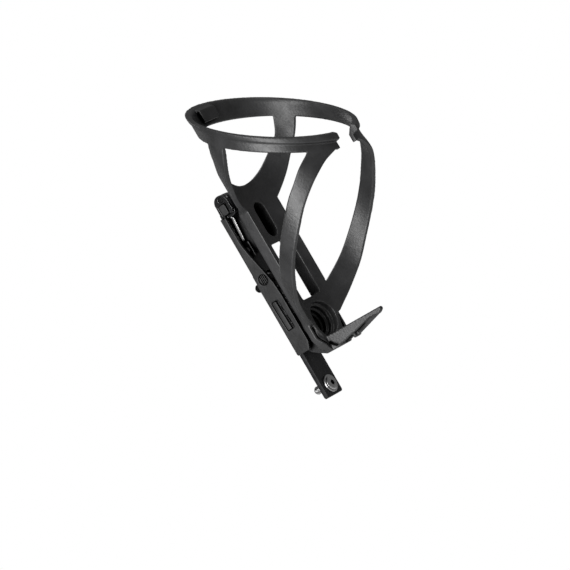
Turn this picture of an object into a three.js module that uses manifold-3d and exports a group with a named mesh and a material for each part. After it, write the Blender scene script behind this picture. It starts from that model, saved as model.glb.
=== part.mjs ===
// Bottle cage on a relocating bar, with a side bracket that has a push-button latch.
// Millimetres, +Z up along the bottle, open front towards -Y, frame tube behind at +Y.
// Origin: centre of the bar's rear face, where the bar lies on the frame tube.
import * as THREE from 'three';
import { mergeVertices } from 'three/addons/utils/BufferGeometryUtils.js';
import Module from 'manifold-3d';

const wasm = await Module();
wasm.setup();

// ---------- driving dimensions ----------
const BOSS_PITCH = 64; // spacing of the threaded bosses on any bicycle frame
const STEP = BOSS_PITCH / 2; // the bar shifts the cage by half a pitch
const FIT = 0.3; // gap left between touching pieces

const BAR = { width: 15, length: 109, thick: 2.6, corner: 1.5 };
const CAGE_BOLT_Z = [1.5 * STEP, -0.5 * STEP]; // upper, lower
const FRAME_BOLT_Z = [0.5 * STEP, -1.5 * STEP];

const AXIS_Y = -57.4; // bottle axis, in front of the frame tube
const RIM_RADIUS = 39.7;
const RIM_INNER = 37;
const WALL = 2.2; // ring
const ARM_WALL = 2.6;
const LIP = { high: 3.2, proud: 0.85 }; // lip at the rim, standing out from the band below
const BULGE = { front: 1.6, rear: 1.1 }; // how far the arms swell out between their ends
const RIM_Z = 90.6; // height of the slanted rim plane at the bottle axis
const RIM_SLOPE = 0.708; // the rim falls from back to front
const RING_END = 13.6; // half angle of the gap at the front
const GRIP = 3.2; // how far the free ends spring inwards
const GRIP_START = 100; // angle at which the wall starts to close in

const RAIL_OUT = 15.3;
const RAIL_IN = 9;
const RAIL_BACK = 17.6; // depth of the rails' rear face in front of the tube
const BOSS_FOOT = 5.4; // depth at which the cage's bosses end
const RECESS_FLOOR = 9.9; // depth of the face under each cage washer
const WEB_BACK = -14.5; // rear edge of the webs along the window
const WINDOW_Z = [-2.4, 32.3];
const CUP_RADIUS = 10.3;
const KEEL = 0.9; // half thickness of the foot's keel

const BRACKET_X = -13.5; // outer face of the bracket's side wall
const BRACKET_WALL = 2;
const BRACKET_BASE = { thick: 2.2, depth: 5.1 };
const BRACKET_HEAD_X = [-11.2, -6.5];
const RIVET = { y: -7.2, z: 36.2, radius: 0.9, head: 1.8 };
const RACK_Z = [0, 1, 2, 3, 4].map((i) => 6.6 - 3.1 * i); // row of steel pins

const BUTTON = { y: -9.9, z: 61.3, thick: 2 };
const PAD = { offset: 0.75, wide: 4.2, high: 5.8 }; // the pad's place on the stem and its size
const BUTTON_RECESS = { wide: 6.4, high: 6.8 };
const STEM = { radius: 1.1, end: -4.6 };
const COVER_SCREW = { y: -10.6, z: 66.8 };
const SPRING = { radius: 1.85, wire: 0.22, turns: 3 };

const BOLT = { radius: 2.35, cageLength: 11, frameLength: 12 };
const CAGE_HEAD = { radius: 4.5, high: 2.7, socket: 1.75, deep: 1.5 };
const FRAME_HEAD = { radius: 4.1, high: 1.9, socket: 1.6, deep: 1.3 };
const WASHER = 0.9;

// ---------- materials ----------
const finish = (color, roughness, metalness) =>
  new THREE.MeshStandardMaterial({ color, roughness, metalness });
const nylon = finish(0x2b2c2d, 0.55, 0);
const matteGrey = finish(0x38393b, 0.6, 0);
const glossBlack = finish(0x121314, 0.2, 0);
const anodised = finish(0x1b1c1e, 0.45, 0.8);
const stainless = finish(0xc4c6c8, 0.25, 1);
const springSteel = finish(0xaeb1b3, 0.3, 1);
const brass = finish(0xb99a52, 0.35, 1);

// ---------- solids ----------
const TO_FRONT = new THREE.Matrix4().set(1, 0, 0, 0, 0, 0, -1, 0, 0, 1, 0, 0, 0, 0, 0, 1);
const TO_SIDE = new THREE.Matrix4().set(0, 0, 1, 0, 1, 0, 0, 0, 0, 1, 0, 0, 0, 0, 0, 1);

function solid(geometry) {
  const bare = geometry.index ? geometry.toNonIndexed() : geometry;
  bare.deleteAttribute('normal');
  bare.deleteAttribute('uv');
  const merged = mergeVertices(bare, 1e-4);
  const vertProperties = new Float32Array(merged.attributes.position.array);
  const triVerts = new Uint32Array(merged.index.array);
  return new wasm.Manifold(new wasm.Mesh({ numProp: 3, vertProperties, triVerts }));
}

function named(name, shape, material) {
  const { vertProperties, triVerts } = shape.getMesh();
  const geometry = new THREE.BufferGeometry();
  geometry.setAttribute('position', new THREE.BufferAttribute(vertProperties, 3));
  geometry.setIndex(new THREE.BufferAttribute(triVerts, 1));
  const mesh = new THREE.Mesh(geometry, material);
  mesh.name = name;
  return mesh;
}

const join = (shapes) => shapes.reduce((whole, next) => whole.add(next));
const cut = (body, shapes) => shapes.reduce((whole, next) => whole.subtract(next), body);

// An outline of [x, z] points, extruded from yFront back to yBack.
function frontPlate(outline, yBack, yFront, curveSegments = 8) {
  const shape = outline instanceof THREE.Shape ? outline : polygon(outline);
  const options = { depth: yBack - yFront, bevelEnabled: false, curveSegments };
  const geometry = new THREE.ExtrudeGeometry(shape, options);
  return solid(geometry.applyMatrix4(TO_FRONT).translate(0, yBack, 0));
}

// An outline of [y, z] points, extruded from xLow to xHigh.
function sidePlate(outline, xLow, xHigh, curveSegments = 8) {
  const shape = outline instanceof THREE.Shape ? outline : polygon(outline);
  const options = { depth: xHigh - xLow, bevelEnabled: false, curveSegments };
  const geometry = new THREE.ExtrudeGeometry(shape, options);
  return solid(geometry.applyMatrix4(TO_SIDE).translate(xLow, 0, 0));
}

function polygon(points) {
  return new THREE.Shape(points.map(([a, b]) => new THREE.Vector2(a, b)));
}

function roundedRect(cx, cy, width, height, radius) {
  const [l, r, b, t] = [cx - width / 2, cx + width / 2, cy - height / 2, cy + height / 2];
  const shape = new THREE.Shape();
  shape.moveTo(l + radius, b);
  shape.lineTo(r - radius, b);
  shape.absarc(r - radius, b + radius, radius, -Math.PI / 2, 0);
  shape.lineTo(r, t - radius);
  shape.absarc(r - radius, t - radius, radius, 0, Math.PI / 2);
  shape.lineTo(l + radius, t);
  shape.absarc(l + radius, t - radius, radius, Math.PI / 2, Math.PI);
  shape.lineTo(l, b + radius);
  shape.absarc(l + radius, b + radius, radius, Math.PI, 1.5 * Math.PI);
  return shape;
}

function box(x, y, z) {
  const geometry = new THREE.BoxGeometry(x[1] - x[0], y[1] - y[0], z[1] - z[0]);
  return solid(geometry.translate((x[0] + x[1]) / 2, (y[0] + y[1]) / 2, (z[0] + z[1]) / 2));
}

// A round body about a Y axis through (x, z), from yBack to yFront.
function roundY(radius, yBack, yFront, z, x = 0, sides = 24) {
  const geometry = new THREE.CylinderGeometry(radius, radius, yBack - yFront, sides);
  return solid(geometry.translate(x, (yBack + yFront) / 2, z));
}

// A round body about an X axis through (y, z).
function roundX(radius, xLow, xHigh, y, z, sides = 16) {
  const geometry = new THREE.CylinderGeometry(radius, radius, xHigh - xLow, sides);
  return solid(geometry.rotateZ(Math.PI / 2).translate((xLow + xHigh) / 2, y, z));
}

// Joins section loops into one closed body; ends holds the flat outline of each end section.
function loft(sections, ends) {
  const size = sections[0].length;
  const positions = sections.flat().flatMap((p) => [p.x, p.y, p.z]);
  const faces = [];
  for (let s = 0; s + 1 < sections.length; s += 1) {
    for (let i = 0; i < size; i += 1) {
      const j = (i + 1) % size;
      const [a, b, c, d] = [s * size + i, s * size + j, (s + 1) * size + j, (s + 1) * size + i];
      faces.push([a, b, c], [a, c, d]);
    }
  }
  const last = (sections.length - 1) * size;
  const cap = (flat) => THREE.ShapeUtils.triangulateShape(flat, []);
  const turn = THREE.ShapeUtils.area(ends[0]) > 0;
  for (const [a, b, c] of cap(ends[0])) faces.push(turn ? [a, c, b] : [a, b, c]);
  for (const [a, b, c] of cap(ends[1])) {
    faces.push(turn ? [last + a, last + b, last + c] : [last + a, last + c, last + b]);
  }
  const geometry = new THREE.BufferGeometry();
  geometry.setAttribute('position', new THREE.Float32BufferAttribute(positions, 3));
  const insideOut = signedVolume(positions, faces) < 0;
  geometry.setIndex(faces.flatMap(([a, b, c]) => (insideOut ? [c, b, a] : [a, b, c])));
  return solid(geometry);
}

function signedVolume(positions, faces) {
  const at = (i) => new THREE.Vector3().fromArray(positions, 3 * i);
  return faces.reduce((sum, [a, b, c]) => sum + at(a).dot(at(b).clone().cross(at(c))), 0);
}

// ---------- cage: one springy moulding ----------
const { clamp, smoothstep, degToRad: rad } = THREE.MathUtils;
const grip = (angle) => GRIP * clamp((GRIP_START - angle) / (GRIP_START - RING_END), 0, 1) ** 3;
const wallRadius = (angle) => RIM_RADIUS - LIP.proud - grip(angle);
const rimHeight = (radius, angle) => RIM_Z - RIM_SLOPE * radius * Math.cos(rad(angle));

// Angle is measured about the bottle axis from the open front; side is -1 left, +1 right.
function aroundBottle(radius, angle, z, side) {
  const a = rad(angle);
  return new THREE.Vector3(side * radius * Math.sin(a), AXIS_Y - radius * Math.cos(a), z);
}

// Section of the ring: a leaning lip over a thinner band.
function ringProfile(angle) {
  const outer = wallRadius(angle);
  const top = rimHeight(RIM_RADIUS, angle);
  const bottom = top - (10.4 - 3 * Math.cos(rad(angle)));
  return [
    [RIM_RADIUS, top],
    [RIM_RADIUS - 0.3, top - LIP.high],
    [outer, top - LIP.high - 0.4],
    [outer, bottom],
    [outer - WALL, bottom],
    [outer - WALL, top - LIP.high + 0.4],
    [RIM_INNER, rimHeight(RIM_INNER, angle)],
  ].map(([r, z]) => new THREE.Vector2(r, z));
}

function ring() {
  const steps = 112;
  const span = 360 - 2 * RING_END;
  const sections = [];
  const flats = [];
  for (let i = 0; i <= steps; i += 1) {
    const turn = RING_END + (span * i) / steps;
    const side = turn <= 180 ? -1 : 1;
    const angle = turn <= 180 ? turn : 360 - turn;
    const flat = ringProfile(angle);
    flats.push(flat);
    sections.push(flat.map((p) => aroundBottle(p.x, angle, p.y, side)));
  }
  return loft(sections, [flats[0], flats[steps]]);
}

// How far an arm swells out of the bottle's surface: nothing near the ring or at its ends.
function swell(row, angle, z) {
  const belowRim = rimHeight(RIM_RADIUS, angle) - z;
  const [low, high] = row.angles;
  const along = smoothstep(angle, low, low + 22) * (1 - smoothstep(angle, high - 28, high));
  return row.bulge * along * smoothstep(belowRim, 8, 20);
}

// An arm is a band on the bottle's surface between two edges, each a row of [angle, z] points.
function arm(row, side, steps) {
  const across = 6;
  const edge = (row) => new THREE.CatmullRomCurve3(row.map(([a, z]) => new THREE.Vector3(a, z, 0)));
  const [top, low] = [edge(row.upper), edge(row.lower)];
  const sections = [];
  for (let i = 0; i <= steps; i += 1) {
    const [from, to] = [low.getPoint(i / steps), top.getPoint(i / steps)];
    const outer = [];
    const inner = [];
    for (let j = 0; j <= across; j += 1) {
      const p = from.clone().lerp(to, j / across);
      const surface = wallRadius(Math.min(p.x, 180));
      const radius = surface + swell(row, p.x, p.y);
      outer.push(aroundBottle(radius, p.x, p.y, side));
      inner.unshift(aroundBottle(Math.max(radius - ARM_WALL, surface - WALL), p.x, p.y, side));
    }
    sections.push([...outer, ...inner]);
  }
  const flat = [];
  for (let j = 0; j <= across; j += 1) flat.push(new THREE.Vector2(j, 1));
  for (let j = across; j >= 0; j -= 1) flat.push(new THREE.Vector2(j, 0));
  return loft(sections, [flat, flat]);
}

const REAR_ARM = {
  bulge: BULGE.rear,
  angles: [100, 172],
  upper: [[121, 97], [124, 91.6], [129.5, 84.2], [141, 77.9], [155, 71.8], [169, 68.5], [180.5, 67.6]],
  lower: [[103, 91.5], [107.5, 86.3], [114.5, 79.6], [125, 71.8], [136, 63.8], [147, 57.6],
    [158, 52.6]],
};
const FRONT_ARM = {
  bulge: BULGE.front,
  angles: [28, 150],
  upper: [[40, 63.6], [46, 60.9], [50.5, 59.1], [57, 56.1], [65.5, 51], [75, 45.6], [88, 36.8],
    [100, 29.1], [115.5, 19.5], [133, 9.6], [150, 2.8], [163, -1.5]],
  lower: [[RING_END + 0.4, 57.2], [22, 55.8], [34, 53.4], [46, 49], [57, 43.8], [68, 37.6],
    [80, 29.4], [93, 20.9], [106, 12], [122, 0.6], [140, -8.9], [158, -16.5]],
};

const bottleSpace = roundFromAxis(wallRadius(180) - WALL, -60, 120);
function roundFromAxis(radius, zLow, zHigh) {
  const geometry = new THREE.CylinderGeometry(radius, radius, zHigh - zLow, 96);
  return solid(geometry.rotateX(Math.PI / 2).translate(0, AXIS_Y, (zLow + zHigh) / 2));
}

// Back plate with the slotted upper boss and the round lower boss.
const SLOT_Z = 46.1;
const slotted = (half, tall) => roundedRect(0, SLOT_Z, 2 * half, tall, half - 0.01);

function spine() {
  const outline = [
    [-RAIL_OUT, 54], [-11.5, 60], [-5.5, 67], [5.5, 67], [11.5, 60], [RAIL_OUT, 54],
    [RAIL_OUT, -15.4], [9.3, -17.8], [-9.3, -17.8], [-RAIL_OUT, -15.4],
  ];
  const plate = frontPlate(outline, -RAIL_BACK, -31).subtract(bottleSpace);
  const upperBoss = frontPlate(slotted(7, 25.6), -BOSS_FOOT, -20);
  const lowerBoss = roundY(10.9, -BOSS_FOOT, -16, CAGE_BOLT_Z[1], 0, 28)
    .add(roundY(12.6, -15, -22, CAGE_BOLT_Z[1], 0, 28));
  const webs = [-1, 1].map((side) => box([side * 10 - 1, side * 10 + 1], [-20, WEB_BACK], [-3.6, 33.5]));
  return join([plate, upperBoss, lowerBoss, lowerFlange(), ...webs]).subtract(bottleSpace);
}

// Flange around the lower boss, set back from the bottle and leaning forward at the bottom.
function lowerFlange() {
  const half = [[RAIL_OUT, -12], [RAIL_OUT, -24], [13.6, -27.6], [11.4, -30.8], [8.3, -33.2]];
  const mirrored = half.map(([x, z]) => [-x, z]).reverse();
  const side = [[-RAIL_BACK, -12], [-RAIL_BACK, -34], [-24.3, -34], [-21, -24], [-21, -12]];
  const flange = frontPlate([...half, ...mirrored], -RAIL_BACK, -30).intersect(sidePlate(side, -20, 20));
  const groove = [
    [13.7, -17.4], [13.7, -23.6], [12.3, -27], [10.2, -30],
    [9, -29.2], [11, -26.3], [12.2, -23.2], [12.2, -17.4],
  ];
  const grooves = [groove, groove.map(([x, z]) => [-x, z])];
  return cut(flange, grooves.map((points) => frontPlate(points, -18.6, -30)));
}

// Window between the rails, the bolt recesses with their holes, and two drains.
function spineHollows() {
  const [low, high] = WINDOW_Z;
  const opening = roundedRect(0, (low + high) / 2, 2 * RAIL_IN, high - low, 1.6);
  const window = frontPlate(opening, -10, -40, 3);
  const upperRecess = frontPlate(slotted(4.8, 21), -RECESS_FLOOR, -40);
  const upperHole = frontPlate(roundedRect(0, CAGE_BOLT_Z[0], 5.8, 9, 2.85), 0, -12, 5);
  const rings = [[CUP_RADIUS, -18.2], [8.9, -15.4], [7.6, -12.6], [6.4, -RECESS_FLOOR], [2.9, -2]];
  const lowerRecess = rings.map(([radius, yBack]) => roundY(radius, yBack, -40, CAGE_BOLT_Z[1]));
  const drains = [[-16, -4], [4, 16]].map((x) => box(x, [-11.6, -8.6], [-25.2, -22.4]));
  return [window, upperRecess, upperHole, ...lowerRecess, ...drains];
}

// Tongue that carries the bottle: two walls that meet at a tip over a narrow keel, tied by ribs.
function foot() {
  const top = -25.5;
  const underside = [[-17.5, -33.6], [-34.3, -34], [-35.2, -33.6], [-55.6, -29], [-57.3, -27.9]];
  const profile = [
    [-8, -16], [-5.9, -24], [-8.6, -28.4], [-13.4, -31.4], ...underside,
    [-57.5, -26.8], [-56.8, -26.2], [-20.5, top], [-18, -16],
  ];
  // Seen from above, the walls run from a half width at the back to a half width at the tip.
  const wedge = (half, back, point, tip) => {
    const right = [[point, tip], [half, back], [half, -5]];
    const left = right.map(([x, y]) => [-x, y]).reverse();
    const corners = [...left, ...right];
    const options = { depth: 40, bevelEnabled: false };
    return solid(new THREE.ExtrudeGeometry(polygon(corners), options).translate(0, 0, -50));
  };
  const body = sidePlate(profile, -12, 12).intersect(wedge(8.6, -17, 1.2, -57.6));
  const hollow = wedge(6.2, -19, 0.5, -50.5).intersect(box([-9, 9], [-60, -19.6], [-60, -20]));
  const belowWalls = [
    [-25, -33.1], [-29.2, -32.5], [-33.9, -31.4], [-39, -30.7], [-48.9, -28.4], [-54, -28.9],
    [-54, -40], [-25, -40],
  ];
  const slit = [[-18.4, -26.6], [-19.8, -26.1], [-26, -32.5], [-24.6, -33]];
  const bothSides = (points, inner) => [sidePlate(points, -12, -inner), sidePlate(points, inner, 12)];
  const cuts = [hollow, ...bothSides(belowWalls, KEEL), ...bothSides(slit, 5.9)];
  const keel = [[-39, -30.3], [-34, -30.8], ...underside.slice(1, 4), [-50, -28.2]];
  const rib = [[-34.2, -30.8], [-34.2, -34], [-35.2, -33.6], [-35.8, -33.5], [-35.8, -30.6]];
  return join([cut(body, cuts), sidePlate(keel, -KEEL, KEEL), sidePlate(rib, -3, 3)]);
}

// Sprung hook at the back of the ring that drops into the bottle's groove.
function hook() {
  const [front, back] = [AXIS_Y + 33.2, AXIS_Y + 37.4];
  const rim = (y) => RIM_Z + RIM_SLOPE * (y - AXIS_Y);
  const profile = [
    [back, rim(back) - 0.2], [front, rim(front) - 0.2], [front + 0.2, rim(front) - 7],
    [front + 1.3, rim(front) - 7.2], [front + 1.3, rim(front) - 0.8], [back, rim(back) - 1.6],
  ];
  return sidePlate(profile, -7.2, 6.8);
}

function cage() {
  const sides = [-1, 1];
  const arms = sides.flatMap((side) => [
    arm(REAR_ARM, side, 30),
    arm(FRONT_ARM, side, 46),
  ]);
  const body = join([ring(), ...arms, spine(), foot(), hook()]);
  return named('cage', cut(body, spineHollows()), nylon);
}

// ---------- relocating bar with its clinch nuts ----------
function bar() {
  const body = frontPlate(roundedRect(0, 0, BAR.width, BAR.length, BAR.corner), 0, -BAR.thick, 4);
  const holes = [
    ...FRAME_BOLT_Z.map((z) => roundY(2.75, 1, -9, z, 0, 20)),
    ...CAGE_BOLT_Z.map((z) => roundY(3.9, 1, -9, z, 0, 20)),
  ];
  return named('relocating_bar', cut(body, holes), anodised);
}

function clinchNut(name, z) {
  const nut = roundY(3.6, -0.2, -BAR.thick + 0.1, z, 0, 20).subtract(roundY(2.65, 1, -9, z, 0, 20));
  return named(name, nut, brass);
}

// ---------- bolts and washers ----------
// Low round head with a hexagon socket; seat is where the head's underside lies.
function bolt(name, z, seat, length, head) {
  const end = seat + length;
  const crown = seat - head.high;
  const profile = [
    [0, crown], [head.radius - 2, crown], [head.radius - 0.9, crown + 0.5],
    [head.radius, seat - 0.9], [head.radius, seat], [BOLT.radius, seat],
    [BOLT.radius, end - 0.7], [BOLT.radius - 0.65, end], [0, end],
  ].map(([r, y]) => new THREE.Vector2(r, y));
  const body = solid(new THREE.LatheGeometry(profile, 24));
  const hexagon = new THREE.CylinderGeometry(head.socket, head.socket, 2 * head.deep, 6);
  const socket = solid(hexagon.translate(0, crown, 0));
  const mesh = named(name, body.subtract(socket), stainless);
  mesh.position.set(0, 0, z);
  return mesh;
}

function washer(name, z, seat, radius) {
  const plate = roundY(radius, seat, seat - WASHER, 0).subtract(roundY(2.7, 5, -30, 0));
  const mesh = named(name, plate, stainless);
  mesh.position.set(0, 0, z);
  return mesh;
}

// ---------- side bracket ----------
function buttonOpening() {
  return roundedRect(BUTTON.y, BUTTON.z, BUTTON_RECESS.wide, BUTTON_RECESS.high, 1.4);
}

function bracket() {
  const wallOutline = [
    [-3.1, -26.2], [-3.1, 14], [-4.9, 44], [-5.1, 56], [-7.4, 57.6], [-7.4, 40.6], [-8.6, 34],
    [-12.2, 20], [-13.6, 14], [-14.2, 6], [-14.2, -22.6], [-11.9, -27],
  ];
  const baseOutline = [
    [BRACKET_X + 1.2, -26.4], [7.5, -26.4], [7.5, 54.4], [-6, 54.4], [-6, 57.6],
    [BRACKET_X + 1.2, 57.6],
  ];
  const baseFront = -BRACKET_BASE.depth;
  const [headLow, headHigh] = BRACKET_HEAD_X;
  const body = join([
    sidePlate(wallOutline, BRACKET_X, BRACKET_X + BRACKET_WALL),
    frontPlate(baseOutline, baseFront + BRACKET_BASE.thick, baseFront),
    box([BRACKET_X + 0.2, -10.4], [-12, -3.4], [-26.8, -24.6]), // end wall
    sidePlate(roundedRect(-9.9, 62.8, 9, 13, 3.4), headLow, headHigh),
    box([headLow, -7.4], [-6.6, -3.2], [52, 60]), // neck under the head
    box([-10.6, -9.4], [-12.4, -4.6], [-8.2, 9]), // rib that holds the row of pins
    box([-8.9, -7.9], [-9.6, -4.6], [31.6, 40.6]), // rib that holds the tongue
  ]);
  const roundMark = roundX(3.2, BRACKET_X - 1, BRACKET_X + 0.5, -8.6, 18.1, 24);
  const labelOutline = [[-5.4, 5.2], [-10.2, 5.2], [-11.2, -12.8], [-5.9, -12.8]];
  const holes = [
    ...CAGE_BOLT_Z.map((z) => roundY(2.9, 1, -9, z)),
    roundY(6.3, 1, -9, FRAME_BOLT_Z[0]),
    roundX(1.5, -12, -6, BUTTON.y, BUTTON.z),
    sidePlate(buttonOpening(), BRACKET_X - 1, SPRING_SEAT),
    roundX(1.05, -12, -8.6, COVER_SCREW.y, COVER_SCREW.z),
    roundX(RIVET.radius + FIT, -11, -6, RIVET.y, RIVET.z),
    ...RACK_Z.map((z) => roundY(PIN.radius + FIT, -10.4, -14, z, PIN.x, 10)),
  ];
  const label = sidePlate(labelOutline, BRACKET_X - 1, BRACKET_X + 0.4);
  return named('side_bracket', cut(body, [roundMark, label, ...holes]), matteGrey);
}

const PIN = { x: -10, radius: 0.6, length: 2.6 };

function rackPin(name, z) {
  const pin = new THREE.CylinderGeometry(PIN.radius, PIN.radius, PIN.length, 10);
  const mesh = named(name, solid(pin.translate(PIN.x, -12, 0)), stainless);
  mesh.position.set(0, 0, z);
  return mesh;
}

// Stamped steel tongue that presses on what the bracket holds.
function tongue() {
  const outline = [
    [-8.3, 55.9], [-9.1, 56], [-9.8, 55.5], [-8.8, 43.5], [-8.5, 40.4], [-9.2, 38.6], [-9.2, 33.8],
    [-5.4, 33.8], [-5.4, 38.6], [-7.2, 40.4], [-7.3, 43.5],
  ];
  const hole = roundX(RIVET.radius + FIT, -12, -6, RIVET.y, RIVET.z);
  return named('steel_tongue', sidePlate(outline, -9.8, -9.2).subtract(hole), springSteel);
}

function tongueRivet() {
  const shank = roundX(RIVET.radius, -10.3, -7.4, RIVET.y, RIVET.z, 14);
  const outerHead = roundX(RIVET.head, -10.7, -10.1, RIVET.y, RIVET.z, 14);
  const innerHead = roundX(RIVET.head, -7.6, -7.1, RIVET.y, RIVET.z, 14);
  return named('tongue_rivet', join([shank, outerHead, innerHead]), stainless);
}

// ---------- latch ----------
const SPRING_SEAT = -8.2; // floor of the recess behind the button
const BUTTON_X = BRACKET_X + 0.1; // outer face of the button

function latchCover() {
  const outline = new THREE.Shape();
  outline.moveTo(-5.2, 58.2);
  outline.lineTo(-5.4, 65.4);
  outline.absarc(-9.9, 64.9, 4.6, 0.1, Math.PI - 0.1);
  outline.lineTo(-14.9, 59.6);
  outline.lineTo(-13.6, 57.9);
  outline.lineTo(-6.2, 57.9);
  const plate = sidePlate(outline, BRACKET_X, BRACKET_X + 2);
  const { y, z } = COVER_SCREW;
  const cuts = [
    sidePlate(buttonOpening(), -20, -8),
    roundX(1.1, -20, -8, y, z),
    roundX(1.7, -20, BRACKET_X + 0.9, y, z),
  ];
  return named('latch_cover', cut(plate, cuts), glossBlack);
}

function coverScrew() {
  const { y, z } = COVER_SCREW;
  const head = roundX(1.4, BRACKET_X + 0.1, BRACKET_X + 0.7, y, z, 14);
  const shank = roundX(0.8, BRACKET_X + 0.3, -9, y, z, 14);
  const slot = box([BRACKET_X - 1, BRACKET_X + 0.35], [y - 2, y + 2], [z - 0.2, z + 0.2]);
  return named('cover_screw', head.add(shank).subtract(slot), stainless);
}

const clipLow = BRACKET_HEAD_X[1] + FIT;

function latchButton() {
  const outline = roundedRect(PAD.offset, 0, PAD.wide, PAD.high, 1.1);
  const pad = sidePlate(outline, BUTTON_X, BUTTON_X + BUTTON.thick);
  const stem = roundX(STEM.radius, BUTTON_X + 1, STEM.end, 0, 0);
  const neck = roundX(0.75, -7, -4, 0, 0);
  const groove = roundX(3, clipLow - 0.15, clipLow + 0.7, 0, 0).subtract(neck);
  const mesh = named('latch_button', pad.add(stem).subtract(groove), matteGrey);
  mesh.position.set(0, BUTTON.y, BUTTON.z);
  return mesh;
}

// Open retaining clip that sits in the stem's groove.
function latchClip() {
  const disc = roundX(2.2, clipLow, clipLow + 0.5, 0, 0, 20).subtract(roundX(1.02, -7, -4, 0, 0, 20));
  const mouth = box([-7, -4], [-0.6, 0.6], [-4, 0]);
  const mesh = named('latch_clip', disc.subtract(mouth), springSteel);
  mesh.position.set(0, BUTTON.y, BUTTON.z);
  return mesh;
}

class Helix extends THREE.Curve {
  constructor(radius, xLow, xHigh, turns) {
    super();
    Object.assign(this, { radius, xLow, xHigh, turns });
  }

  getPoint(t, target = new THREE.Vector3()) {
    const a = 2 * Math.PI * this.turns * t;
    const x = this.xLow + (this.xHigh - this.xLow) * t;
    return target.set(x, this.radius * Math.cos(a), this.radius * Math.sin(a));
  }
}

function latchSpring() {
  const wire = new THREE.Shape().absarc(0, 0, SPRING.wire, 0, 2 * Math.PI);
  const low = BUTTON_X + BUTTON.thick + SPRING.wire + 0.1;
  const high = SPRING_SEAT - SPRING.wire - 0.1;
  const path = new Helix(SPRING.radius, low, high, SPRING.turns);
  const options = { steps: 42, extrudePath: path, curveSegments: 3, bevelEnabled: false };
  const mesh = named('latch_spring', solid(new THREE.ExtrudeGeometry(wire, options)), springSteel);
  mesh.position.set(0, BUTTON.y, BUTTON.z);
  return mesh;
}

// ---------- the assembly ----------
const bottleCage = new THREE.Group();
bottleCage.add(cage(), bar(), bracket(), tongue(), tongueRivet(), latchCover(), coverScrew());
bottleCage.add(latchButton(), latchClip(), latchSpring());
const cageSeat = -RECESS_FLOOR - FIT;
const frameSeat = -BAR.thick - FIT;
['upper', 'lower'].forEach((place, i) => {
  bottleCage.add(
    clinchNut(`clinch_nut_${place}`, CAGE_BOLT_Z[i]),
    washer(`cage_washer_${place}`, CAGE_BOLT_Z[i], cageSeat, [4.5, 5.4][i]),
    bolt(`cage_bolt_${place}`, CAGE_BOLT_Z[i], cageSeat - WASHER - FIT, BOLT.cageLength, CAGE_HEAD),
    washer(`frame_washer_${place}`, FRAME_BOLT_Z[i], frameSeat, 5.1),
    bolt(`frame_bolt_${place}`, FRAME_BOLT_Z[i], frameSeat - WASHER - FIT, BOLT.frameLength, FRAME_HEAD),
  );
});
RACK_Z.forEach((z, i) => bottleCage.add(rackPin(`rack_pin_${i + 1}`, z)));

export default bottleCage;
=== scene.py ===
import math

import bpy
from mathutils import Matrix, Vector


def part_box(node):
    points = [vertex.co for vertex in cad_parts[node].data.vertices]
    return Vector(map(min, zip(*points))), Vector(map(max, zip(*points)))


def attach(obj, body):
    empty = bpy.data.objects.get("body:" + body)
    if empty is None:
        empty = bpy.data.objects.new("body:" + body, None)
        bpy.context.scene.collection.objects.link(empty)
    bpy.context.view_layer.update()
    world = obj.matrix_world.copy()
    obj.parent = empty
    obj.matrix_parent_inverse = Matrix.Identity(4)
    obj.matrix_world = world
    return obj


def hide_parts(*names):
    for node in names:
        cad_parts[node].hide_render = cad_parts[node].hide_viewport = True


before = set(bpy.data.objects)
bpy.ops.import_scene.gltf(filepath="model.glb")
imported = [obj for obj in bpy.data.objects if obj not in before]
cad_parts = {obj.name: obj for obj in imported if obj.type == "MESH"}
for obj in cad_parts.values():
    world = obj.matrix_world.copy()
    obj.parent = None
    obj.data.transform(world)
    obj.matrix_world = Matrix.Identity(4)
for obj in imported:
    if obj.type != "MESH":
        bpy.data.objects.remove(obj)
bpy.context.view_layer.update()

# ---------- the cage moulding ----------
# One piece of glass-filled nylon: a slanted ring with a lip and a hook, two rear arms, two long
# front arms, a spine with two bosses, and a foot. It comes out of the mould with soft edges.
WALL_GRID = 0.0004
EDGE_PASSES = 3
KEPT_FACES = 0.55
SKIN = 0.0001  # what the softened edges took off the walls, in metres
# Painted shade: within this reach of other surfaces the nylon's colour is pulled toward this black,
# and its specular level lowered, in recesses and between parts.
SHADE_REACH = 0.012
PAINTED_SHADE_BLACK = (0.002, 0.002, 0.002, 1)
NYLON_DARK = (0.019, 0.019, 0.0195, 1)
NYLON_WORN = (0.034, 0.034, 0.035, 1)


def deselect():
    bpy.ops.object.select_all(action="DESELECT")


def only(piece):
    deselect()
    piece.select_set(True)
    bpy.context.view_layer.objects.active = piece


def copy_of_node(node, name):
    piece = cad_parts[node].copy()
    piece.data = piece.data.copy()
    piece.name = name
    piece.parent = None
    for key in list(piece.keys()):
        del piece[key]
    bpy.context.scene.collection.objects.link(piece)
    only(piece)
    bpy.ops.object.mode_set(mode="EDIT")
    bpy.ops.mesh.select_mode(type="VERT")
    bpy.ops.mesh.select_all(action="SELECT")
    bpy.ops.mesh.remove_doubles(threshold=0.000002)
    bpy.ops.object.mode_set(mode="OBJECT")
    return piece


def finish_modifier(piece, kind, **settings):
    only(piece)
    modifier = piece.modifiers.new(kind.lower(), kind)
    for key, value in settings.items():
        setattr(modifier, key, value)
    bpy.ops.object.modifier_apply(modifier=modifier.name)


def new_material(name, roughness, metallic=0.0):
    material = bpy.data.materials.new(name)
    material.use_nodes = True
    shader = material.node_tree.nodes["Principled BSDF"]
    shader.inputs["Roughness"].default_value = roughness
    shader.inputs["Metallic"].default_value = metallic
    return material, material.node_tree, shader


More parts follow.
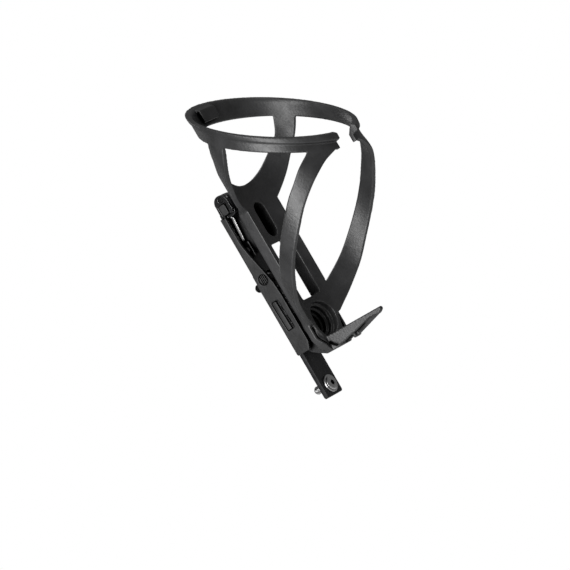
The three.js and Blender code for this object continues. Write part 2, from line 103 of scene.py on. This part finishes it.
def noise(tree, scale, detail=2.0, stretch=None):
    place = tree.nodes.new("ShaderNodeTexCoord")
    texture = tree.nodes.new("ShaderNodeTexNoise")
    texture.inputs["Scale"].default_value = scale
    texture.inputs["Detail"].default_value = detail
    if stretch:
        mapping = tree.nodes.new("ShaderNodeMapping")
        mapping.inputs["Scale"].default_value = stretch
        tree.links.new(place.outputs["Object"], mapping.inputs["Vector"])
        tree.links.new(mapping.outputs["Vector"], texture.inputs["Vector"])
    else:
        tree.links.new(place.outputs["Object"], texture.inputs["Vector"])
    return texture.outputs["Fac"]


def ramp(tree, value, stops):
    node = tree.nodes.new("ShaderNodeValToRGB")
    elements = node.color_ramp.elements
    while len(elements) < len(stops):
        elements.new(1.0)
    for element, (place, color) in zip(elements, stops):
        element.position = place
        element.color = color
    tree.links.new(value, node.inputs["Fac"])
    return node.outputs["Color"]


def spread(tree, value, low, high):
    node = tree.nodes.new("ShaderNodeMapRange")
    node.inputs["From Min"].default_value = 0.3
    node.inputs["From Max"].default_value = 0.7
    node.inputs["To Min"].default_value = low
    node.inputs["To Max"].default_value = high
    tree.links.new(value, node.inputs["Value"])
    return node.outputs["Result"]


def bump(tree, shader, heights):
    normal = None
    for value, strength, distance in heights:
        node = tree.nodes.new("ShaderNodeBump")
        node.inputs["Strength"].default_value = strength
        node.inputs["Distance"].default_value = distance
        tree.links.new(value, node.inputs["Height"])
        if normal:
            tree.links.new(normal, node.inputs["Normal"])
        normal = node.outputs["Normal"]
    tree.links.new(normal, shader.inputs["Normal"])


def moulded_nylon(name, dark, worn, rough_low, rough_high):
    material, tree, shader = new_material(name, rough_low)
    cloud = noise(tree, 90, 5.0)
    grain = noise(tree, 2600, 3.0)
    # Painted shade: an ambient-occlusion term darkens the base colour toward black and lowers the
    # specular level in recesses and between parts; the cloud it multiplies is random mottle in the
    # nylon.
    shade_occlusion = tree.nodes.new("ShaderNodeAmbientOcclusion")
    shade_occlusion.inputs["Distance"].default_value = SHADE_REACH
    shade = spread(tree, shade_occlusion.outputs["AO"], 0.0, 1.0)
    shade.node.inputs["From Min"].default_value = 0.3
    shade.node.inputs["From Max"].default_value = 0.85
    mottle_and_shade = tree.nodes.new("ShaderNodeMath")
    mottle_and_shade.operation = "MULTIPLY"
    tree.links.new(cloud, mottle_and_shade.inputs[0])
    tree.links.new(shade, mottle_and_shade.inputs[1])
    stops = [(0.05, PAINTED_SHADE_BLACK), (0.35, dark), (0.68, worn)]
    tree.links.new(ramp(tree, mottle_and_shade.outputs[0], stops), shader.inputs["Base Color"])
    tree.links.new(spread(tree, shade, 0.02, 0.54), shader.inputs["Specular IOR Level"])
    wear = noise(tree, 260, 4.0)
    tree.links.new(spread(tree, wear, rough_low, rough_high), shader.inputs["Roughness"])
    orange_peel = noise(tree, 900, 2.0)
    bump(tree, shader, [(grain, 0.5, 0.00008), (orange_peel, 0.5, 0.0002), (cloud, 0.25, 0.0004)])
    return material


def give(piece, material):
    piece.data.materials.clear()
    piece.data.materials.append(material)


def place(piece, body, slot, *nodes):
    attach(piece, body)
    if nodes:
        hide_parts(*nodes)


cage_nylon = moulded_nylon("cage_nylon", NYLON_DARK, NYLON_WORN, 0.36, 0.46)
cage = copy_of_node("cage", "cage_moulding")
finish_modifier(cage, "REMESH", mode="VOXEL", voxel_size=WALL_GRID, use_smooth_shade=True)
finish_modifier(cage, "SMOOTH", factor=0.5, iterations=EDGE_PASSES)
finish_modifier(cage, "DECIMATE", ratio=KEPT_FACES)
finish_modifier(cage, "DISPLACE", strength=SKIN, mid_level=0.0)
give(cage, cage_nylon)
place(cage, "root", "cage_nylon", "cage")

# ---------- the relocating bar ----------
# A flat strip of aluminium with rounded corners, drilled, tumbled to break its edges and then
# anodised black. It lies on the frame tube and everything else is bolted to it.
BAR_EDGE = 0.35
MM = 0.001


def soften(piece, width, segments=2, corner=0.6):
    finish_modifier(piece, "BEVEL", width=width * MM, segments=segments, limit_method="ANGLE",
                    angle_limit=corner, harden_normals=False)
    only(piece)
    bpy.ops.object.shade_smooth_by_angle(angle=0.6)


def brushed_metal(name, dull, bright, rough_low, rough_high, metallic, stretch, depth=0.00003):
    material, tree, shader = new_material(name, rough_low, metallic)
    grain = noise(tree, 1.0, 4.0, stretch)
    tree.links.new(ramp(tree, grain, [(0.3, dull), (0.7, bright)]), shader.inputs["Base Color"])
    stain = noise(tree, 420, 5.0)
    tree.links.new(spread(tree, stain, rough_low, rough_high), shader.inputs["Roughness"])
    bump(tree, shader, [(grain, 0.3, depth), (stain, 0.15, 0.00005)])
    return material


anodised = brushed_metal("bar_anodised", (0.012, 0.012, 0.013, 1), (0.024, 0.024, 0.025, 1),
                         0.34, 0.46, 0.35, (2600, 2600, 140))
bar = copy_of_node("relocating_bar", "anodised_bar")
soften(bar, BAR_EDGE, 3)
give(bar, anodised)
place(bar, "root", "bar_anodised", "relocating_bar")

# ---------- the clinch nuts ----------
# Two brass bushes pressed into the bar from behind. They carry the threads for the cage bolts
# and have a fine knurl that bites into the aluminium.
brass = brushed_metal("nut_brass", (0.32, 0.22, 0.08, 1), (0.5, 0.37, 0.16, 1),
                      0.25, 0.4, 1.0, (1800, 3800, 1800))
KNURL_TEETH = 36
NUT_BORE = 2.65
NUT_EDGE = 0.18


def carve(piece, tool):
    finish_modifier(piece, "BOOLEAN", operation="DIFFERENCE", solver="EXACT", object=tool)
    bpy.data.objects.remove(tool)


def ring_of(name, node, inner, edge, teeth):
    low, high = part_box(node)
    middle = (low + high) / 2
    radius = (high.x - low.x) / 2
    deselect()
    bpy.ops.mesh.primitive_cylinder_add(vertices=2 * teeth, radius=radius, depth=high.y - low.y,
                                        location=middle, rotation=(math.pi / 2, 0, 0))
    piece = bpy.context.object
    piece.name = name
    bpy.ops.object.transform_apply(location=True, rotation=True, scale=True)
    deselect()
    bpy.ops.mesh.primitive_cylinder_add(vertices=48, radius=inner * MM, depth=0.02,
                                        location=middle, rotation=(math.pi / 2, 0, 0))
    carve(piece, bpy.context.object)
    soften(piece, edge, 2)
    return piece


for which in ("upper", "lower"):
    nut = ring_of(f"knurled_nut_{which}", f"clinch_nut_{which}", NUT_BORE, NUT_EDGE, KNURL_TEETH)
    give(nut, brass)
    place(nut, "root", "brass", f"clinch_nut_{which}")

# ---------- the side bracket ----------
# A satin black moulding clamped between the cage and the bar. Its side wall has a blank label
# plate in a deep surround and a round mark with upright bars, and its head is polished.
BRACKET_GRID = 0.0003
LABEL = {"low": (-13.25, -9.35, -12.3), "high": (-12.0, -5.85, 4.7)}
LABEL_LEAN = -0.04
LABEL_GAP = 0.35
LABEL_SHADOW = 0.75  # the plate stops short of the lip, which leaves a dark gap
SURROUND_DEEP = 1.4
LIP_SLOT = {"y": (-10.95, -9.85), "z": (-12.2, 4.6), "deep": 1.7, "lean": -0.0555}
MARK = {"y": -8.6, "z": 18.1, "radius": 3.0, "rim": 0.15, "deep": 1.1}
MARK_BARS = {"y": (-10.2, -9.1, -8.0, -6.9), "half": 0.24, "set_back": 0.2, "clear": 0.35}
OUTER_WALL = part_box("side_bracket")[0].x / MM


def block(name, low, high, lean=0.0):
    deselect()
    bpy.ops.mesh.primitive_cube_add(size=1)
    piece = bpy.context.object
    piece.name = name
    piece.scale = [(b - a) * MM for a, b in zip(low, high)]
    piece.location = [(a + b) / 2 * MM for a, b in zip(low, high)]
    piece.rotation_euler = (lean, 0, 0)
    bpy.ops.object.transform_apply(location=True, rotation=True, scale=True)
    return piece


def remoulded(node, name, grid, passes, swell=0.0):
    piece = copy_of_node(node, name)
    finish_modifier(piece, "REMESH", mode="VOXEL", voxel_size=grid, use_smooth_shade=True)
    finish_modifier(piece, "SMOOTH", factor=0.5, iterations=passes)
    if swell:
        finish_modifier(piece, "DISPLACE", strength=swell * MM, mid_level=0.0)
    return piece


bracket_nylon = moulded_nylon("bracket_nylon", (0.012, 0.012, 0.0125, 1), (0.021, 0.021, 0.0215, 1),
                              0.42, 0.54)
bracket = copy_of_node("side_bracket", "bracket_moulding")
low, high = LABEL["low"], LABEL["high"]
surround = block("surround", (OUTER_WALL - 1, low[1] - LABEL_GAP, low[2] - LABEL_GAP),
                 (OUTER_WALL + SURROUND_DEEP, high[1] + LABEL_GAP, high[2] + LABEL_GAP), LABEL_LEAN)
carve(bracket, surround)
(front, rear), (bottom, top) = LIP_SLOT["y"], LIP_SLOT["z"]
lip_slot = block("lip_slot", (OUTER_WALL - 1, front, bottom),
                 (OUTER_WALL + LIP_SLOT["deep"], rear, top), LIP_SLOT["lean"])
carve(bracket, lip_slot)
deselect()
bpy.ops.mesh.primitive_cylinder_add(vertices=64, radius=(MARK["radius"] + MARK["rim"]) * MM,
                                    depth=2 * MARK["deep"] * MM, rotation=(0, math.pi / 2, 0),
                                    location=(OUTER_WALL * MM, MARK["y"] * MM, MARK["z"] * MM))
carve(bracket, bpy.context.object)
finish_modifier(bracket, "REMESH", mode="VOXEL", voxel_size=BRACKET_GRID, use_smooth_shade=True)
finish_modifier(bracket, "SMOOTH", factor=0.5, iterations=3)
finish_modifier(bracket, "DISPLACE", strength=0.05 * MM, mid_level=0.0)
give(bracket, bracket_nylon)
place(bracket, "root", "bracket_nylon", "side_bracket")

label_nylon = moulded_nylon("label_nylon", (0.011, 0.011, 0.0112, 1), (0.03, 0.03, 0.0305, 1),
                            0.45, 0.6)
label = block("label_plate", (low[0], low[1] + LABEL_SHADOW, low[2]), high, LABEL_LEAN)
soften(label, 0.2, 3)
give(label, label_nylon)
place(label, "root", "bracket_nylon")

wide = MARK_BARS["half"]
for index, y in enumerate(MARK_BARS["y"]):
    half = math.sqrt(MARK["radius"] ** 2 - (y - MARK["y"]) ** 2) - MARK_BARS["clear"]
    upright = block(f"mark_bar_{index + 1}",
                    (OUTER_WALL + MARK_BARS["set_back"], y - wide, MARK["z"] - half),
                    (OUTER_WALL + MARK["deep"] + 0.15, y + wide, MARK["z"] + half))
    soften(upright, 0.15, 2)
    give(upright, label_nylon)
    place(upright, "root", "bracket_nylon")

# ---------- the steel tongue and its rivet ----------
# A strip stamped from spring steel and riveted to the bracket below the head. Its upper part shows
# the bright steel; its foot and the rivet are drawn black as painted shade for the shadow they lie
# in.
# Painted shade: below this height, across this fade, the tongue's colour turns black for the shadow
# its foot lies in.
SHADE_BELOW_Z = 42.6
SHADE_FADE = 0.8
TONGUE_SHADE_BLACK = (0.002, 0.002, 0.002, 1)
spring_steel = brushed_metal("spring_steel", (0.5, 0.5, 0.5, 1), (0.68, 0.68, 0.67, 1),
                             0.3, 0.42, 1.0, (3000, 3000, 160))
tongue_steel = spring_steel.copy()
tongue_steel.name = "tongue_steel"
tree = tongue_steel.node_tree
shader = tree.nodes["Principled BSDF"]
brushing = shader.inputs["Base Color"].links[0].from_socket
coordinates = tree.nodes.new("ShaderNodeTexCoord")
height = tree.nodes.new("ShaderNodeSeparateXYZ")
tree.links.new(coordinates.outputs["Object"], height.inputs["Vector"])
shade_edge = tree.nodes.new("ShaderNodeMapRange")
shade_edge.inputs["From Min"].default_value = (SHADE_BELOW_Z - SHADE_FADE) * MM
shade_edge.inputs["From Max"].default_value = (SHADE_BELOW_Z + SHADE_FADE) * MM
tree.links.new(height.outputs["Z"], shade_edge.inputs["Value"])
# Painted shade: below the fade height the tongue's steel colour is mixed to black.
painted_shade_mix = tree.nodes.new("ShaderNodeMix")
painted_shade_mix.data_type = "RGBA"
amount, shaded_side, bright_side = painted_shade_mix.inputs[0], painted_shade_mix.inputs[6], painted_shade_mix.inputs[7]
shaded_side.default_value = TONGUE_SHADE_BLACK
tree.links.new(shade_edge.outputs["Result"], amount)
tree.links.new(brushing, bright_side)
tree.links.new(painted_shade_mix.outputs[2], shader.inputs["Base Color"])
tongue = copy_of_node("steel_tongue", "stamped_tongue")
soften(tongue, 0.3, 3)
give(tongue, tongue_steel)
place(tongue, "root", "spring_steel", "steel_tongue")

stainless = brushed_metal("stainless", (0.46, 0.46, 0.46, 1), (0.66, 0.66, 0.66, 1),
                          0.2, 0.34, 1.0, (1500, 1500, 1500))
# The black steel is the cover screw's own finish; on the rivet, three of the bolts and the socket
# insides it is painted shade.
black_finish_and_shade = brushed_metal("black_steel_and_painted_shade", (0.004, 0.004, 0.004, 1), (0.012, 0.012, 0.012, 1),
                          0.38, 0.52, 0.3, (1500, 1500, 1500))
black_finish_and_shade.node_tree.nodes["Principled BSDF"].inputs["Specular IOR Level"].default_value = 0.2
rivet = remoulded("tongue_rivet", "domed_rivet", 0.00012, 3)
# Painted shade: the rivet is drawn in black steel for the shadow it lies in.
give(rivet, black_finish_and_shade)
place(rivet, "root", "stainless", "tongue_rivet")

# ---------- the row of pins ----------
# Five short steel dowels pressed into the bracket's rib, each turned with a small rounded end.
# They stand out as a row of bright dots beside the wall.


def turned(name, profile, centre, steps=40):
    """A body of revolution about a Y axis through centre, from rows of (radius, y)."""
    deselect()
    bpy.ops.mesh.primitive_plane_add(size=0.001, location=(0, 0, 0))
    piece = bpy.context.object
    piece.name = name
    bpy.ops.object.mode_set(mode="EDIT")
    bpy.ops.mesh.select_all(action="SELECT")
    bpy.ops.mesh.merge(type="CENTER")
    at = Vector((profile[0][0] * MM + centre[0], profile[0][1] * MM, centre[1]))
    bpy.ops.transform.translate(value=at)
    for radius, y in profile[1:]:
        step = Vector((radius * MM + centre[0], y * MM, centre[1])) - at
        bpy.ops.mesh.extrude_vertices_move(TRANSFORM_OT_translate={"value": step})
        at += step
    bpy.ops.mesh.select_all(action="SELECT")
    bpy.ops.mesh.spin(steps=steps, angle=2 * math.pi, center=(centre[0], 0, centre[1]),
                      axis=(0, 1, 0))
    bpy.ops.mesh.select_all(action="SELECT")
    bpy.ops.mesh.remove_doubles(threshold=0.000002)
    bpy.ops.mesh.normals_make_consistent(inside=False)
    bpy.ops.object.mode_set(mode="OBJECT")
    only(piece)
    bpy.ops.object.shade_smooth_by_angle(angle=0.55)
    return piece


for number in range(1, 6):
    low, high = (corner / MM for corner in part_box(f"rack_pin_{number}"))
    centre = ((low.x + high.x) / 2 * MM, (low.z + high.z) / 2 * MM)
    profile = [(0, low.y), (0.28, low.y + 0.03), (0.48, low.y + 0.14), (0.6, low.y + 0.34),
               (0.6, high.y - 0.15), (0.48, high.y), (0, high.y)]
    pin = turned(f"dowel_{number}", profile, centre, 24)
    give(pin, stainless)
    place(pin, "root", "stainless", f"rack_pin_{number}")

# ---------- the latch cover and its screw ----------
# A polished black cap over the latch, moulded with soft shoulders and held to the bracket's
# head by one blackened slotted screw. The head under it is polished in the same way.
GLOSS_FROM_Z = 56.4
GLOSS_FROM_X = -11.3
gloss, tree, shader = new_material("cover_gloss", 0.12)
smear = noise(tree, 320, 4.0)
haze = noise(tree, 2400, 3.0)
gloss_black = [(0.35, (0.006, 0.006, 0.0065, 1)), (0.7, (0.012, 0.012, 0.0125, 1))]
tree.links.new(ramp(tree, smear, gloss_black), shader.inputs["Base Color"])
tree.links.new(spread(tree, smear, 0.09, 0.2), shader.inputs["Roughness"])
shader.inputs["Coat Weight"].default_value = 0.6
shader.inputs["Coat Roughness"].default_value = 0.06
bump(tree, shader, [(smear, 0.12, 0.0001), (haze, 0.06, 0.00002)])
cover = remoulded("latch_cover", "polished_cap", 0.00014, 4)
give(cover, gloss)
place(cover, "root", "cover_gloss", "latch_cover")

bracket.data.materials.append(gloss)
for face in bracket.data.polygons:
    if face.center.z > GLOSS_FROM_Z * MM and face.center.x > GLOSS_FROM_X * MM:
        face.material_index = 1

screw = copy_of_node("cover_screw", "slotted_screw")
soften(screw, 0.08, 2)
give(screw, black_finish_and_shade)
place(screw, "root", "stainless", "cover_screw")

# ---------- the push button with its clip and spring ----------
# A rounded pad on a stem, moulded in satin nylon, with a thin skirt behind the pad. It slides in
# the bracket's head against a coil spring, and an open steel clip in the stem's groove holds it.
PAD_THICK = 2.0
SKIRT = {"low": (-12.65, 58.35), "high": (-7.15, 64.25), "thick": 0.5}
button_nylon = moulded_nylon("button_nylon", (0.016, 0.016, 0.0165, 1), (0.026, 0.026, 0.0265, 1),
                             0.36, 0.46)
button = remoulded("latch_button", "push_button", 0.00012, 3)
give(button, button_nylon)
place(button, "button", "button_nylon", "latch_button")

pad_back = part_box("latch_button")[0].x / MM + PAD_THICK
skirt_front = pad_back - SKIRT["thick"]
skirt = block("button_skirt", (skirt_front, *SKIRT["low"]), (pad_back, *SKIRT["high"]))
soften(skirt, 0.2, 2)
give(skirt, bracket_nylon)
place(skirt, "button", "button_nylon")

clip = copy_of_node("latch_clip", "open_clip")
soften(clip, 0.08, 2)
give(clip, spring_steel)
place(clip, "button", "spring_steel", "latch_clip")
give(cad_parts["latch_spring"], spring_steel)

# ---------- bolts and washers ----------
# Four M5 bolts with hexagon sockets on flat stainless washers. Two go through the cage into the
# clinch nuts and two hold the bar to the frame. All are the same steel: only the lowest one is drawn
# bright, and the other three and the socket insides are black as painted shade.
PITCH = 0.8
THREAD = {"crest": 2.35, "root": 1.95}
SEAT_GAP = 0.3  # between the bolt's head and its washer
SOCKET_DEEP = 1.4
WASHER_HOLE = 2.7
WASHER_EDGE = 0.14
HEADS = {"cage": {"socket": 1.75, "rise": 2.7}, "frame": {"socket": 1.6, "rise": 0.7}}
UNSHADED_BOLT = ("frame", "lower")


def bolt(name, node, seat, socket, rise, metal):
    low, high = (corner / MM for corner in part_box(node))
    head = (high.x - low.x) / 2
    crown, end = max(low.y, seat - rise), high.y
    rise = seat - crown
    profile = [(0, crown), (head * 0.56, crown), (head * 0.74, crown + 0.08 * rise),
               (head * 0.88, crown + 0.26 * rise), (head * 0.97, crown + 0.5 * rise),
               (head, crown + 0.76 * rise), (head, crown + 0.94 * rise),
               (head - 0.12, seat), (THREAD["crest"] + 0.3, seat), (THREAD["crest"], seat + 0.3)]
    y = seat + 1.4
    profile.append((THREAD["crest"], y))
    while y + PITCH < end - 0.5:
        profile += [(THREAD["root"], y + PITCH / 2), (THREAD["crest"], y + PITCH * 0.9),
                    (THREAD["crest"], y + PITCH)]
        y += PITCH
    profile += [(THREAD["root"], end - 0.35), (1.6, end), (0, end)]
    z = (low.z + high.z) / 2 * MM
    piece = turned(name, profile, (0, z), 48)
    deselect()
    bpy.ops.mesh.primitive_cylinder_add(vertices=6, radius=socket * MM, depth=2 * SOCKET_DEEP * MM,
                                        location=(0, crown * MM, z), rotation=(math.pi / 2, 0, 0))
    carve(piece, bpy.context.object)
    only(piece)
    bpy.ops.object.shade_smooth_by_angle(angle=0.55)
    give(piece, metal)
    # Painted shade: the faces inside the hex socket get the black steel, standing in for the shade
    # in the recess.
    piece.data.materials.append(black_finish_and_shade)
    for face in piece.data.polygons:
        from_axis = math.hypot(face.center.x, face.center.z - z) / MM
        if from_axis < socket and face.center.y > (crown + 0.1) * MM:
            face.material_index = 1
    place(piece, "root", "stainless", node)


def washer(name, node):
    low, high = (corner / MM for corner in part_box(node))
    outer, hole, edge = (high.x - low.x) / 2, WASHER_HOLE, WASHER_EDGE
    profile = [(hole, low.y + edge), (hole + edge, low.y), (outer - 0.3, low.y),
               (outer - 0.08, low.y + 0.1), (outer, low.y + 0.3), (outer, high.y - 0.1),
               (outer - 0.1, high.y), (hole + edge, high.y), (hole, high.y - edge),
               (hole, low.y + edge)]
    piece = turned(name, profile, (0, (low.z + high.z) / 2 * MM), 56)
    give(piece, stainless)
    place(piece, "root", "stainless", node)


for which in ("upper", "lower"):
    for family, head in HEADS.items():
        washer(f"{family}_flat_washer_{which}", f"{family}_washer_{which}")
        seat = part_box(f"{family}_washer_{which}")[0].y / MM - SEAT_GAP
        # Painted shade: every bolt except the lowest frame bolt is drawn in black steel, for the
        # shade it sits in.
        metal = stainless if (family, which) == UNSHADED_BOLT else black_finish_and_shade
        bolt(f"{family}_screw_{which}", f"{family}_bolt_{which}", seat, head["socket"], head["rise"],
             metal)

# ---------- studio ----------
# A pale paper floor well below the cage, one large soft light on the bracket's side, and two
# weak ones behind and above. The camera is rolled by the lean of a frame's down tube.
AXIS = Vector((0, -0.0574, 0.0336))
VIEW_AZIMUTH = math.radians(-55.04)
VIEW_ELEVATION = math.radians(-3.126)
VIEW_ROLL = math.radians(-30.198)
VIEW_DISTANCE = 2.0
ACROSS = 0.30465  # what the picture takes in at the bottle's axis, in metres
AIM = (-0.02095, -0.04054)
FLOOR = {"radius": 0.7, "place": (0, -0.05, -0.3)}

back = Vector((
    math.sin(VIEW_AZIMUTH) * math.cos(VIEW_ELEVATION),
    -math.cos(VIEW_AZIMUTH) * math.cos(VIEW_ELEVATION),
    math.sin(VIEW_ELEVATION),
))
level = Vector((0, 0, 1)).cross(back).normalized()
upright = back.cross(level)
right = math.cos(VIEW_ROLL) * level + math.sin(VIEW_ROLL) * upright
up = -math.sin(VIEW_ROLL) * level + math.cos(VIEW_ROLL) * upright
eye = AXIS + VIEW_DISTANCE * back
target = AXIS + AIM[0] * right + AIM[1] * up

lens = bpy.data.cameras.new("camera")
lens.sensor_width = 36
lens.clip_start = 0.05
lens.clip_end = 50
camera = bpy.data.objects.new("camera", lens)
bpy.context.scene.collection.objects.link(camera)
bpy.context.scene.camera = camera
look = (target - eye).normalized()
camera_right = look.cross(up).normalized()
camera_up = camera_right.cross(look)
lens.lens = 36 * (target - eye).length / ACROSS
turn = Matrix((camera_right, camera_up, -look)).transposed().to_4x4()
camera.matrix_world = Matrix.Translation(eye) @ turn


def softbox(name, direction, distance, size, power):
    light = bpy.data.lights.new(name, "AREA")
    light.shape = "RECTANGLE"
    light.size, light.size_y = size
    light.energy = power
    lamp = bpy.data.objects.new(name, light)
    bpy.context.scene.collection.objects.link(lamp)
    where = Vector(direction).normalized()
    lamp.location = AXIS + distance * where
    lamp.rotation_mode = "QUATERNION"
    lamp.rotation_quaternion = where.to_track_quat("Z", "Y")
    return lamp


softbox("key_softbox", (-0.99, -0.09, 0.06), 1.6, (0.85, 1.3), 34)
softbox("back_softbox", (0.5, 0.9, 0.6), 1.8, (1.2, 1.2), 8)
softbox("top_softbox", (-0.1, -0.3, 1.0), 1.6, (0.9, 0.9), 6)

world = bpy.data.worlds.new("studio")
bpy.context.scene.world = world
world.use_nodes = True
sky = world.node_tree
paper = sky.nodes["Background"]
paper.inputs["Color"].default_value = (1, 1, 1, 1)
room = sky.nodes.new("ShaderNodeBackground")
room.inputs["Color"].default_value = (1, 1, 1, 1)
room.inputs["Strength"].default_value = 0.17
paper.inputs["Strength"].default_value = 1.0
path = sky.nodes.new("ShaderNodeLightPath")
mix = sky.nodes.new("ShaderNodeMixShader")
sky.links.new(path.outputs["Is Camera Ray"], mix.inputs["Fac"])
sky.links.new(room.outputs["Background"], mix.inputs[1])
sky.links.new(paper.outputs["Background"], mix.inputs[2])
sky.links.new(mix.outputs["Shader"], sky.nodes["World Output"].inputs["Surface"])

deselect()
bpy.ops.mesh.primitive_circle_add(vertices=96, radius=FLOOR["radius"], fill_type="NGON",
                                  location=FLOOR["place"])
floor = bpy.context.object
floor.name = "studio_floor"
paper_white, tree, shader = new_material("paper_white", 0.9)
shader.inputs["Base Color"].default_value = (0.86, 0.86, 0.86, 1)
give(floor, paper_white)

bpy.context.scene.view_settings.view_transform = "Standard"
